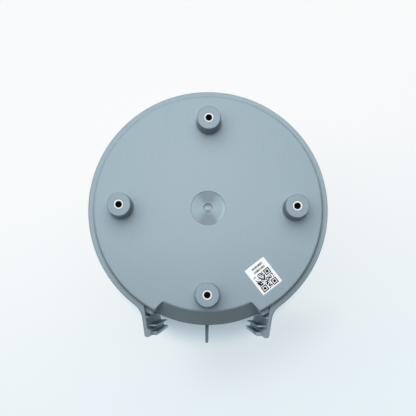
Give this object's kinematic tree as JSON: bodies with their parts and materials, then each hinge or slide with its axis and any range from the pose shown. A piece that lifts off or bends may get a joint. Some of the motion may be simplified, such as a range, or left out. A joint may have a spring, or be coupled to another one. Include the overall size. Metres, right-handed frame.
{
  "type": "motorised actuator head",
  "caption": "Drum-shaped motorised actuator head lying on its front: flat back with insert stand-offs, guide ears and a geared output lever swinging in the mouth between them.",
  "frame": {"origin": "centre of the flat front face that the head lies on", "axes": "+Z along the drum axis towards the back plate and its stand-offs, -Y towards the mouth with the output lever, +X to the right seen from the back"},
  "size_m": [0.15, 0.1587, 0.165],
  "materials": {
    "housing_plastic": "matt moulded",
    "insert_metal": "bright turned",
    "gear_plastic": "natural moulded",
    "dark_plastic": "satin",
    "board_laminate": "solder mask",
    "terminal_plastic": "satin",
    "inlet_rubber": "matt",
    "plated_steel": "zinc plated",
    "bush_bronze": "sintered"
  },
  "bodies": {
    "housing": {"back_plate": "housing_plastic", "board_screw_1": "plated_steel", "board_screw_2": "plated_steel", "board_spacer_1": "plated_steel", "board_spacer_2": "plated_steel", "cable_grommet": "inlet_rubber", "capacitor": "dark_plastic", "case_screw_lower_left": "plated_steel", "case_screw_lower_right": "plated_steel", "case_screw_upper_left": "plated_steel", "case_screw_upper_right": "plated_steel", "chassis_plate": "plated_steel", "circuit_board": "board_laminate", "close_switch": "dark_plastic", "front_bush": "bush_bronze", "front_shell": "housing_plastic", "gear_pin": "plated_steel", "insert_bottom": "insert_metal", "insert_left": "insert_metal", "insert_right": "insert_metal", "insert_top": "insert_metal", "motor_can": "plated_steel", "motor_screw_1": "plated_steel", "motor_screw_2": "plated_steel", "open_switch": "dark_plastic", "pillar_lower_left": "plated_steel", "pillar_lower_right": "plated_steel", "pillar_upper_left": "plated_steel", "pillar_upper_right": "plated_steel", "rear_bush": "bush_bronze", "relay": "dark_plastic", "switch_screw_1": "plated_steel", "switch_screw_2": "plated_steel", "terminal_block": "terminal_plastic"},
    "output": {"output_shaft": "plated_steel", "sector_gear": "gear_plastic", "output_lever": "housing_plastic", "open_cam": "gear_plastic", "close_cam": "gear_plastic"},
    "reduction_gear": {"reduction_gear": "gear_plastic"},
    "motor_pinion": {"motor_pinion": "bush_bronze"},
    "open_plunger": {"open_plunger": "terminal_plastic"},
    "close_plunger": {"close_plunger": "terminal_plastic"}
  },
  "joints": [
    {"name": "lever_swing", "type": "hinge", "parent": "housing", "child": "output", "pos_m": [0, 0, 0.12], "axis": [0, 0, 1], "range_deg": [-20, 20]},
    {"name": "reduction_spin", "type": "hinge", "parent": "housing", "child": "reduction_gear", "pos_m": [0, 0.042, 0.105], "axis": [0, 0, 1], "range_deg": [-120, 120]},
    {"name": "motor_spin", "type": "hinge", "parent": "housing", "child": "motor_pinion", "pos_m": [-0.02121, 0.02079, 0.1], "axis": [0, 0, 1], "range_deg": [-480, 480]},
    {"name": "open_plunger_slide", "type": "slide", "parent": "housing", "child": "open_plunger", "axis": [1, 0, 0], "range_m": [0, 0.0008], "stiffness_N_per_m": 300, "springref_m": -0.001},
    {"name": "close_plunger_slide", "type": "slide", "parent": "housing", "child": "close_plunger", "axis": [1, 0, 0], "range_m": [0, 0.0008], "stiffness_N_per_m": 300, "springref_m": -0.001}
  ],
  "couplings": [
    {"joint": "reduction_spin", "follows": "lever_swing", "ratio": -6},
    {"joint": "motor_spin", "follows": "lever_swing", "ratio": 24}
  ]
}
